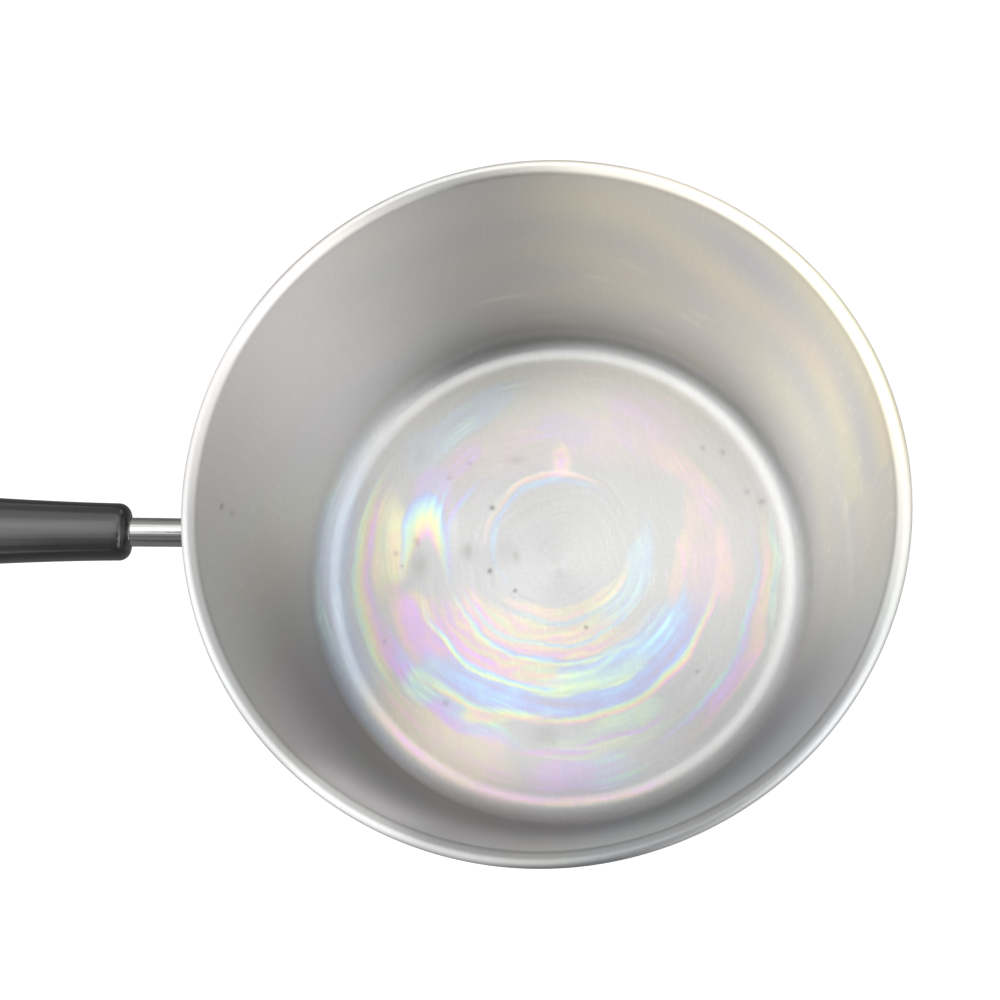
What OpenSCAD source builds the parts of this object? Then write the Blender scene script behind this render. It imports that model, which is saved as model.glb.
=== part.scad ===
// Deep stove-top saucepan: a drawn steel shell with a rolled rim, a capped
// heat-spreading base, and a moulded grip carried on a welded tube neck.
// The origin is the centre of the base's underside, +Z is up and the handle
// points along -X. All lengths are in millimetres.

/* [Pan shell] */
// Inside diameter of the straight wall
inner_d = 180; // [150:1:240]
// Inside depth, from the floor to the top of the rim
inside_depth = 116; // [90:1:160]
// Thickness of the drawn sheet
wall_t = 0.8; // [0.6:0.1:1.1]
// Inside radius between the floor and the wall
corner_r = 9; // [5:0.5:14]

/* [Rolled rim] */
// Inward-facing radius of the bend between the wall and the flare
bend_r = 2.2; // [1.6:0.1:3]
// Lean of the flare from the vertical, in degrees
flare_deg = 50; // [35:1:60]
// Length of the flare's straight flank
flare_l = 0.9; // [0.4:0.1:2]
// Outside radius of the rolled bead
bead_r = 1.5; // [1.3:0.1:2.2]
// How far below the horizontal the curl turns, in degrees
curl_deg = 100; // [60:5:115]

/* [Base] */
// Step from the end of the pan's flat underside in to the base's edge
base_inset = 5; // [2:0.5:12]
// Thickness of the aluminium core
core_t = 4.5; // [3:0.5:7]
// Thickness of the steel cap
cap_t = 0.6; // [0.4:0.1:1]
// Radius round the cap's lower edge
base_edge_r = 2.4; // [1.4:0.1:3]

/* [Handle foot and neck] */
// Rise of the handle above the horizontal, in degrees
handle_tilt = 20; // [8:1:28]
// Drop from the top of the rim to the handle's foot
foot_drop = 32; // [26:1:50]
// Width of the foot plate
foot_w = 38; // [30:1:50]
// Height of the foot plate
foot_h = 24; // [22:1:30]
// Thickness of the foot plate
foot_t = 1.5; // [1:0.1:2.5]
// Length of the collar along the neck
collar_l = 12; // [9:0.5:18]
// Wall of the collar
collar_t = 1.6; // [1.2:0.1:2.5]
// Outside diameter of the neck tube
neck_d = 8.4; // [8:0.1:10]
// Wall of the neck tube
neck_t = 1.2; // [0.8:0.1:1.4]
// Length of the neck between the pan's wall and the grip
neck_l = 29; // [22:1:50]

/* [Grip] */
// Length of the grip
grip_l = 142; // [110:1:170]
// Width of the grip at the neck
front_w = 16.2; // [15.8:0.1:20]
// Width of the grip near its far end
rear_w = 26; // [22:0.5:32]
// Height of the grip at the neck
front_h = 16.2; // [15.8:0.1:20]
// Height of the grip's upper half near its far end
rear_top_h = 9; // [7.5:0.1:11]
// Height of the grip's lower half at its belly
belly_h = 11; // [8.5:0.1:13]
// Height of the grip's lower half at its far end
tail_h = 9.6; // [7.5:0.1:11]
// Squareness of the grip's section, where 2 is an ellipse
section_power = 2.4; // [2:0.1:3.5]
// Rounding of the edge at the neck
front_edge_r = 3.2; // [2:0.1:3.4]
// Rounding of the edge at the far end
rear_edge_r = 3.6; // [2:0.1:4]
// Depth of the socket that takes the neck
socket_l = 30; // [24:1:45]

/* [Inner hardware] */
// Diameter of the tie rod
rod_d = 5; // [4:0.1:5.2]
// Length of the threaded plug inside the neck
plug_l = 14; // [10:1:20]
// Thickness of the plug's flange
flange_t = 1.2; // [0.8:0.1:2]
// Thickness of the seat washer
washer_t = 1; // [0.6:0.1:1.6]
// Outside diameter of the lock washer
lock_d = 9; // [8.4:0.1:9.6]
// Thickness of the lock washer
lock_t = 1.2; // [0.8:0.1:1.6]
// Opening cut through the lock washer
lock_slit = 1; // [0.5:0.1:2]

/* [Hanger] */
// Diameter of the hanger's flange
eye_flange_d = 11; // [10:0.1:12]
// Thickness of the hanger's flange
eye_flange_t = 1.8; // [1.2:0.1:3]
// Diameter of the hanger's threaded boss
eye_boss_d = 8.6; // [8:0.1:9.4]
// Depth of the thread inside the hanger
eye_thread_l = 6; // [5:0.5:8]
// Width across the hanger's rounded lug
lug_d = 9.2; // [7.5:0.1:11]
// Thickness of the lug
lug_t = 5; // [3:0.1:6]
// Steel left between the thread and the ring's bore
lug_web = 3; // [2:0.1:5]
// Diameter of the ring's wire
wire_d = 3; // [2.5:0.1:3.6]
// Width of the ring between the middles of its legs
ring_w = 21; // [18:0.5:24]
// Radius of the ring's two upper bends, at the middle of the wire
ring_bend_r = 4; // [3:0.5:5]
// Length of the ring's straight legs
leg_l = 9; // [6:0.5:14]

/* [Fits] */
// Gap of a bonded or brazed joint
bond_gap = 0.02; // [0.01:0.01:0.05]
// Gap between the neck and the collar or the grip
neck_fit = 0.08; // [0.05:0.01:0.15]
// Gap of a screwed joint
thread_fit = 0.05; // [0.03:0.01:0.08]
// Gap round the tie rod where it only passes through
rod_pass = 0.3; // [0.2:0.05:0.5]
// Running gap of the ring in its bore
swing_fit = 0.06; // [0.03:0.01:0.1]

/* [Hidden] */

$fn = 96;
arc_step = 10;        // degrees between the points of a profile's arc
overrun = 3;          // how far a cutting shape runs past what it cuts
cone_l_share = 0.45;  // the collar's flared foot, as a share of its length
dimple_share = 0.22;  // a spot weld's depth, as a share of the foot plate

// heights, counted up from the base's underside
inner_r = inner_d / 2;
outer_r = inner_r + wall_t;
base_t = cap_t + core_t;
floor_z = base_t + bond_gap + wall_t;
rim_z = floor_z + inside_depth;
flat_r = inner_r - corner_r;
base_r = flat_r - base_inset;

// the rim's flare leans out by flare_deg, so its face points to 180 - flare_deg
flare_a = 180 - flare_deg;
bend_z = rim_z - bead_r - (bend_r - bead_r) * sin(flare_deg) - flare_l * cos(flare_deg);
bead_x = inner_r + bend_r + (bend_r - bead_r) * cos(flare_a) + flare_l * sin(flare_deg);
bead_z = rim_z - bead_r;

// places along the handle, counted from the pan's outer wall
foot_z = rim_z - foot_drop;
neck_r = neck_d / 2;
rod_r = rod_d / 2;
collar_r = neck_r + neck_fit + collar_t;
socket_end = neck_l + socket_l;
tube_end = socket_end - washer_t - flange_t;
plug_start = tube_end - plug_l;
grip_end = neck_l + grip_l;
lock_start = grip_end - lock_t;
boss_end = grip_end + eye_thread_l + thread_fit;
wire_r = wire_d / 2;
lug_r = lug_d / 2;
eye_at = boss_end + lug_web + wire_r + swing_fit;
rod_start = plug_start + rod_r;
rod_end = grip_end + eye_thread_l;

// where the ring's bore lies in the pan's own frame
eye_x = -outer_r - eye_at * cos(handle_tilt);
eye_z = foot_z + eye_at * sin(handle_tilt);

// Points along an arc from angle a0 to angle a1 about [x, z], ends included
function arc(x, z, r, a0, a1) =
    let (n = max(2, ceil(abs(a1 - a0) / arc_step)))
    [for (i = [0 : n]) let (a = a0 + (a1 - a0) * i / n) [x + r * cos(a), z + r * sin(a)]];

// An S-shaped step from 0 to 1 as t goes from 0 to 1, level at both ends
function ease(t) = let (u = min(1, max(0, t))) u * u * (3 - 2 * u);

// Sets its children on the handle's axis, d along it from the pan's wall.
// There local Z runs out along the handle and local X points up.
module on_handle(d = 0) {
    translate([-outer_r, 0, foot_z])
        rotate([0, handle_tilt - 90, 0])
            translate([0, 0, d])
                children();
}

// The space that the pan's wall takes, out to a gap beyond its outer face
module wall_space(gap) {
    cylinder(r = outer_r + gap, h = rim_z + foot_h);
}

// Drawn shell: the face towards the food from the floor's centre to the end
// of the curl, and back along the other face one sheet away
module pan_body() {
    face = concat(
        [[0, floor_z]],
        arc(flat_r, floor_z + corner_r, corner_r, -90, 0),
        arc(inner_r + bend_r, bend_z, bend_r, 180, flare_a),
        arc(bead_x, bead_z, bead_r, flare_a, -curl_deg)
    );
    back = concat(
        arc(bead_x, bead_z, bead_r - wall_t, -curl_deg, flare_a),
        arc(inner_r + bend_r, bend_z, bend_r - wall_t, flare_a, 180),
        arc(flat_r, floor_z + corner_r, corner_r + wall_t, 0, -90),
        [[0, floor_z - wall_t]]
    );
    color("#b7b3aa")
        rotate_extrude()
            polygon(concat(face, back));
}

// Half outline of a round-edged puck of radius r between heights z0 and z1
module puck_half(r, z0, z1, edge_r) {
    polygon(concat(
        [[0, z0]],
        arc(r - edge_r, z0 + edge_r, edge_r, -90, 0),
        [[r, z1], [0, z1]]
    ));
}

// Aluminium disc that spreads the heat under the floor
module base_core() {
    color("#cfd1d3")
        rotate_extrude()
            puck_half(base_r - cap_t - bond_gap, cap_t + bond_gap, base_t, base_edge_r - cap_t - bond_gap);
}

// Steel cup pressed over the core; its underside is what stands on the hob
module base_cap() {
    color("#c4c3bf")
        rotate_extrude()
            difference() {
                puck_half(base_r, 0, base_t, base_edge_r);
                puck_half(base_r - cap_t, cap_t, base_t + overrun, base_edge_r - cap_t);
            }
}

// Outline of the foot plate: a bar with round ends
module foot_outline() {
    end_r = foot_h / 2;
    square([foot_w - foot_h, foot_h], center = true);
    for (s = [-1, 1])
        translate([s * (foot_w / 2 - end_r), 0])
            circle(r = end_r);
}

// Saddle plate curved to the wall, with the collar that the neck is brazed into
module handle_foot() {
    ball_r = foot_h / 8;
    weld_x = foot_w / 2 - foot_h / 4;
    weld_d = foot_t * dimple_share;
    plate_r = outer_r + bond_gap + foot_t;
    color("#bdbbb6")
        difference() {
            union() {
                intersection() {
                    cylinder(r = plate_r, h = rim_z);
                    translate([0, 0, foot_z])
                        rotate([90, 0, -90])
                            linear_extrude(plate_r + overrun)
                                foot_outline();
                }
                on_handle(-foot_h / 2)
                    cylinder(r = collar_r, h = foot_h / 2 + collar_l);
                on_handle(-collar_r)
                    cylinder(r1 = collar_r * 2, r2 = collar_r, h = collar_r + collar_l * cone_l_share);
            }
            wall_space(bond_gap);
            on_handle(-foot_h)
                cylinder(r = neck_r + neck_fit, h = foot_h + collar_l + overrun);
            for (s = [-1, 1])
                rotate([0, 0, s * asin(weld_x / plate_r)])
                    translate([-plate_r - ball_r + weld_d, 0, foot_z])
                        sphere(r = ball_r);
        }
}

// Polished tube from the foot into the grip, coped to the pan's wall
module neck_tube() {
    color("#dcdcdc")
        difference() {
            on_handle(-neck_d)
                cylinder(r = neck_r, h = neck_d + tube_end);
            on_handle(-neck_d - overrun)
                cylinder(r = neck_r - neck_t, h = neck_d + tube_end + 2 * overrun);
            wall_space(bond_gap);
        }
}

// Threaded plug brazed into the neck's end; its flange covers the tube's rim
module neck_plug() {
    color("#8f8f8c")
        on_handle()
            difference() {
                union() {
                    translate([0, 0, plug_start])
                        cylinder(r = neck_r - neck_t - bond_gap, h = plug_l + flange_t / 2);
                    translate([0, 0, tube_end])
                        cylinder(r = neck_r, h = flange_t);
                }
                translate([0, 0, plug_start - overrun])
                    cylinder(r = rod_r + thread_fit, h = plug_l + flange_t + 2 * overrun);
            }
}

// Flat ring between the plug's flange and the shoulder inside the grip
module seat_washer() {
    color("#9c9c98")
        on_handle(socket_end - washer_t)
            difference() {
                cylinder(r = neck_r, h = washer_t);
                translate([0, 0, -overrun])
                    cylinder(r = rod_r + rod_pass, h = washer_t + 2 * overrun);
            }
}

// Half sizes of the grip's section at share s of its length, before its ends
// are rounded: [upper height, lower height, half width]
function section_at(s) =
    let (
        swell_share = 0.85,
        belly_share = 0.62,
        to_belly = ease(s / belly_share),
        to_tail = ease((s - belly_share) / (1 - belly_share))
    )
    [
        front_h / 2 + (rear_top_h - front_h / 2) * ease(s),
        front_h / 2 + (belly_h - front_h / 2) * to_belly + (tail_h - belly_h) * to_tail,
        (front_w + (rear_w - front_w) * ease(s / swell_share)) / 2
    ];

// One corner-rounded ring of the grip: h is [upper, lower, half width] less inset
function grip_ring(h, inset, z, m) =
    [for (j = [0 : m - 1])
        let (
            a = 360 * j / m,
            c = cos(a),
            d = sin(a),
            up = (c > 0 ? h[0] : h[1]) - inset,
            side = h[2] - inset,
            e = 2 / section_power
        )
        [sign(c) * pow(abs(c), e) * up, sign(d) * pow(abs(d), e) * side, z]];

// Moulded grip: a loft of superellipse rings whose edges roll over at both ends,
// bored for the neck, the tie rod and the lock washer
module grip() {
    round_n = 5;
    body_n = 20;
    m = 36;
    // [distance along the grip, inset of the ring], front edge to far edge
    stops = concat(
        [for (i = [0 : round_n])
            let (a = 90 * i / round_n)
            [front_edge_r * (1 - cos(a)), front_edge_r * (1 - sin(a))]],
        [for (i = [1 : body_n - 1])
            [front_edge_r + (grip_l - front_edge_r - rear_edge_r) * i / body_n, 0]],
        [for (i = [round_n : -1 : 0])
            let (a = 90 * i / round_n)
            [grip_l - rear_edge_r * (1 - cos(a)), rear_edge_r * (1 - sin(a))]]
    );
    n = len(stops);
    points = [for (s = stops) each grip_ring(section_at(s[0] / grip_l), s[1], s[0], m)];
    sides = [for (i = [0 : n - 2], j = [0 : m - 1])
        let (k = (j + 1) % m, a = i * m, b = a + m)
        each [[a + j, b + j, b + k], [a + j, b + k, a + k]]];
    caps = [[for (j = [0 : m - 1]) j], [for (j = [m - 1 : -1 : 0]) (n - 1) * m + j]];
    color("#1b1b1d")
        difference() {
            on_handle(neck_l)
                polyhedron(points = points, faces = concat(sides, caps), convexity = 4);
            on_handle(neck_l - overrun)
                cylinder(r = neck_r + neck_fit, h = overrun + socket_l);
            on_handle(neck_l)
                cylinder(r = rod_r + rod_pass, h = grip_l + overrun);
            on_handle(lock_start)
                cylinder(r = lock_d / 2 + rod_pass, h = lock_t + overrun);
        }
}

// Long rod that pulls the hanger, the grip and the neck together
module tie_rod() {
    tip = rod_r / 4;
    color("#a5a5a2")
        on_handle(rod_start)
            rotate_extrude()
                polygon([
                    [0, 0],
                    [rod_r - tip, 0],
                    [rod_r, tip],
                    [rod_r, rod_end - rod_start - tip],
                    [rod_r - tip, rod_end - rod_start],
                    [0, rod_end - rod_start]
                ]);
}

// Split spring washer, pressed flat in its recess
module lock_washer() {
    slit_deg = lock_slit / (PI * lock_d) * 360;
    color("#77777a")
        on_handle(lock_start)
            rotate([0, 0, slit_deg / 2])
                rotate_extrude(angle = 360 - slit_deg)
                    translate([rod_r + rod_pass, 0])
                        square([lock_d / 2 - rod_r - rod_pass, lock_t]);
}

// Turned and flattened end nut with the eye that carries the ring
module hanger_eye() {
    boss_r = eye_boss_d / 2;
    flange_r = eye_flange_d / 2;
    step = eye_flange_t / 3;
    color("#c9c9c7")
        difference() {
            union() {
                on_handle(grip_end)
                    rotate_extrude()
                        polygon([
                            [0, 0],
                            [flange_r, 0],
                            [flange_r, eye_flange_t - step],
                            [flange_r - step, eye_flange_t],
                            [boss_r, eye_flange_t],
                            [boss_r, boss_end - grip_end],
                            [lug_t / 2, eye_at - grip_end],
                            [0, eye_at - grip_end]
                        ]);
                on_handle(eye_at)
                    rotate([90, 0, 0])
                        cylinder(r = lug_r, h = lug_t, center = true);
            }
            on_handle(grip_end - overrun)
                cylinder(r = rod_r + thread_fit, h = overrun + eye_thread_l + thread_fit);
            on_handle(eye_at)
                rotate([90, 0, 0])
                    cylinder(r = wire_r + swing_fit, h = eye_boss_d + overrun, center = true);
        }
}

// Wire ring with a straight bar through the eye, hanging straight down
module hang_ring() {
    half = ring_w / 2;
    bar_half = half - ring_bend_r;
    leg_end = -ring_bend_r - leg_l;
    color("#cbcbc9")
        translate([eye_x, 0, eye_z]) {
            rotate([90, 0, 0])
                cylinder(r = wire_r, h = 2 * bar_half, center = true);
            for (side = [0, 1])
                mirror([0, side, 0]) {
                    translate([0, bar_half, -ring_bend_r])
                        rotate([90, 0, 90])
                            rotate_extrude(angle = 90)
                                translate([ring_bend_r, 0])
                                    circle(r = wire_r);
                    translate([0, half, leg_end])
                        cylinder(r = wire_r, h = leg_l);
                }
            translate([0, 0, leg_end])
                rotate([90, 180, 90])
                    rotate_extrude(angle = 180)
                        translate([half, 0])
                            circle(r = wire_r);
        }
}

pan_body();
base_core();
base_cap();
handle_foot();
neck_tube();
neck_plug();
seat_washer();
grip();
tie_rod();
lock_washer();
hanger_eye();
hang_ring();
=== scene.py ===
import bpy
import numpy as np
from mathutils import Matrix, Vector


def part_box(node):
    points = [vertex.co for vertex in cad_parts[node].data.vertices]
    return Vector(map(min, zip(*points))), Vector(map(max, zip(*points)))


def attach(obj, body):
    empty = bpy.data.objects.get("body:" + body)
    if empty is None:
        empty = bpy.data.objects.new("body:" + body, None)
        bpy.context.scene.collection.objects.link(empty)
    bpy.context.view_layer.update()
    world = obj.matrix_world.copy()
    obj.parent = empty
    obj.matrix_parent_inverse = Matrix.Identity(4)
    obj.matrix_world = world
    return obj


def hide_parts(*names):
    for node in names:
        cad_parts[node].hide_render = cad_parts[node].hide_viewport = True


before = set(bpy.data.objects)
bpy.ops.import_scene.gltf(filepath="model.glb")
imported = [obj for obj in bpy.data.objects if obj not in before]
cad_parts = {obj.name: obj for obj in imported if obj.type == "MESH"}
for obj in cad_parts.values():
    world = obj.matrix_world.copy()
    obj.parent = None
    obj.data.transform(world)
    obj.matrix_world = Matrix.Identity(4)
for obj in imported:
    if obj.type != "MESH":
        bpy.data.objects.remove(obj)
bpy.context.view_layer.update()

mm = 0.001


# Pan shell: one disc of 18/10 stainless steel sheet, deep drawn and rolled outwards at the rim.
# Its floor is scoured and its wall buffed. Heat has left a thin oxide film on the floor that
# shows pale colours, and use has left stains, specks and rubbed places. Light and shade are
# painted into the inside's colour as well: a painted reflection tinting the wall, painted shade
# and highlights on the wall, and painted highlights on the floor.
sheet_t = 0.8 * mm
shell_r = 90 * mm
corner_r = 9 * mm
bend_r = 2.2 * mm
bead_r = 1.5 * mm
flank = 0.9 * mm
flare = np.radians(50)
curl_deg = 100
# edges bent more than this stay sharp
crease = np.radians(35)
# points round each ring, rings on the floor and in its corner, and the first ring's radius
pan_points = 360
floor_rings, corner_rings = 128, 18
pole_r = 0.3 * mm
floor_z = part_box("pan_body")[0].z + sheet_t
rim_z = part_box("pan_body")[1].z
flat_r = shell_r - corner_r
face_deg = 180 - np.degrees(flare)
bend_x = shell_r + bend_r
bend_z = rim_z - bead_r - (bend_r - bead_r) * np.sin(flare) - flank * np.cos(flare)
bead_x = bend_x - (bend_r - bead_r) * np.cos(flare) + flank * np.sin(flare)
bead_z = rim_z - bead_r


def arc(x, z, radius, start, end, steps):
    """Points (x + radius cos a, z + radius sin a) as a goes from start to end, in degrees."""
    a = np.radians(np.linspace(start, end, steps + 1))
    return np.stack([x + radius * np.cos(a), z + radius * np.sin(a)], axis=1)


def straight(start, end, steps):
    """Points spaced evenly from start to end."""
    return np.linspace(start, end, steps + 1)


def turned(outline, around=pan_points):
    """Rings of a surface of revolution: point (r, z) becomes (r cos a, r sin a, z) for each a."""
    a = np.arange(around) * 2 * np.pi / around
    r, z = outline[:, 0, None], outline[:, 1, None]
    return np.stack([r * np.cos(a), r * np.sin(a), z + 0 * a], axis=2)


def skin(name, rings, looped=False):
    """A mesh over rings of points, an array (ring, place round it, xyz).

    Quads join each ring to the next. The ends are closed by a fan to the middle of the end ring,
    or with looped the last ring joins the first. The map holds the share of the way round and
    the length run along the rings, in metres.
    """
    n, m, _ = rings.shape
    step = np.linalg.norm(np.diff(rings, axis=0), axis=2).mean(axis=1)
    run = np.concatenate([[0], np.cumsum(step)])
    j = np.arange(m)
    k = (j + 1) % m
    i = np.arange(n if looped else n - 1)[:, None]
    after = (i + 1) % n
    quads = np.stack([i * m + j, after * m + j, after * m + k, i * m + k], axis=2).reshape(-1, 4)
    end = run[-1] + np.linalg.norm(rings[0] - rings[-1], axis=1).mean() if looped else 0
    far = np.where(after > i, run[after], end) * np.ones(m)
    near = run[i] * np.ones(m)
    left, right = j / m + 0 * near, (j + 1) / m + 0 * near
    quad_map = np.stack([left, near, left, far, right, far, right, near], axis=2).reshape(-1, 2)
    points = rings.reshape(-1, 3)
    corners, sizes, maps = [quads.ravel()], [np.full(len(quads), 4)], [quad_map]
    if not looped:
        last = (n - 1) * m
        points = np.concatenate([points, [rings[0].mean(axis=0), rings[-1].mean(axis=0)]])
        fans = np.stack([0 * j + n * m, j, k, 0 * j + n * m + 1, last + k, last + j], axis=1)
        fan_run = np.array([run[0]] * 3 + [run[-1]] * 3)
        fan_turn = np.stack([j + 0.5, j, j + 1, j + 0.5, j + 1, j], axis=1) / m
        corners.append(fans.ravel())
        sizes.append(np.full(2 * m, 3))
        maps.append(np.stack([fan_turn, fan_turn * 0 + fan_run], axis=2).reshape(-1, 2))
    corners, sizes = np.concatenate(corners), np.concatenate(sizes)
    mesh = bpy.data.meshes.new(name)
    mesh.vertices.add(len(points))
    mesh.vertices.foreach_set("co", points.ravel())
    mesh.loops.add(len(corners))
    mesh.loops.foreach_set("vertex_index", corners)
    mesh.polygons.add(len(sizes))
    mesh.polygons.foreach_set("loop_start", np.cumsum(sizes) - sizes)
    mesh.uv_layers.new(name="run").data.foreach_set("uv", np.concatenate(maps).ravel())
    mesh.update(calc_edges=True)
    mesh.validate()
    mesh.shade_smooth()
    mesh.set_sharp_from_angle(angle=crease)
    made = bpy.data.objects.new(name, mesh)
    bpy.context.scene.collection.objects.link(made)
    return made


def smooth(t):
    """A step from 0 to 1, level at both ends: 3 t^2 - 2 t^3, with t held between 0 and 1."""
    t = np.clip(t, 0, 1)
    return t * t * (3 - 2 * t)


def ripple(x, y, size, seed):
    """A smooth random field of about unit height: the sum of 14 sine waves in random directions,
    each about size long."""
    draw = np.random.default_rng(seed)
    heading = draw.uniform(0, 2 * np.pi, 14)
    length = size / draw.uniform(0.6, 1.5, 14)
    start = draw.uniform(0, 2 * np.pi, 14)
    along = np.multiply.outer(x, np.cos(heading)) + np.multiply.outer(y, np.sin(heading))
    return np.sin(2 * np.pi * along / length + start).sum(axis=-1) / np.sqrt(7)


def linear(code):
    """The linear colour of an sRGB hex code: each channel c, from 0 to 1, becomes c / 12.92 up to
    0.04045 and ((c + 0.055) / 1.055) to the power 2.4 above it."""
    c = np.array([int(code[i : i + 2], 16) for i in (1, 3, 5)]) / 255
    return (*np.where(c <= 0.04045, c / 12.92, ((c + 0.055) / 1.055) ** 2.4), 1.0)


def add(tree, kind, inputs=None, **settings):
    """Adds a shader node with its settings. inputs gives its sockets' values, or the output
    sockets that feed them."""
    made = tree.nodes.new("ShaderNode" + kind)
    for key, value in settings.items():
        setattr(made, key, value)
    for key, value in (inputs or {}).items():
        if isinstance(value, bpy.types.NodeSocket):
            tree.links.new(value, made.inputs[key])
        else:
            made.inputs[key].default_value = value
    return made


def new_material(name):
    """A material with no nodes but its output."""
    made = bpy.data.materials.new(name)
    made.use_nodes = True
    made.node_tree.nodes.clear()
    return made, made.node_tree, add(made.node_tree, "OutputMaterial")


# the sheet's section: from the floor's middle up the inside and over the rolled rim, then back
# down the outside
inner_face = np.concatenate([
    straight((pole_r, floor_z), (flat_r, floor_z), floor_rings),
    arc(flat_r, floor_z + corner_r, corner_r, -90, 0, corner_rings)[1:],
    straight((shell_r, floor_z + corner_r), (shell_r, bend_z), 58)[1:],
    arc(bend_x, bend_z, bend_r, 180, face_deg, 6)[1:],
    arc(bead_x, bead_z, bead_r, face_deg, -curl_deg, 22),
])
outer_face = np.concatenate([
    arc(bead_x, bead_z, bead_r - sheet_t, -curl_deg, face_deg, 10),
    arc(bend_x, bend_z, bend_r - sheet_t, face_deg, 180, 4),
    straight((shell_r + sheet_t, bend_z), (shell_r + sheet_t, floor_z + corner_r), 10)[1:],
    arc(flat_r, floor_z + corner_r, corner_r + sheet_t, 0, -90, 8)[1:],
    straight((flat_r, floor_z - sheet_t), (pole_r, floor_z - sheet_t), 3)[1:],
])
pan_shell = skin("pan_shell", turned(np.concatenate([inner_face, outer_face])))
# the length run along the section from the floor's middle to the rim's bend
rim_run = flat_r + np.pi / 2 * corner_r + bend_z - floor_z - corner_r

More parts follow.
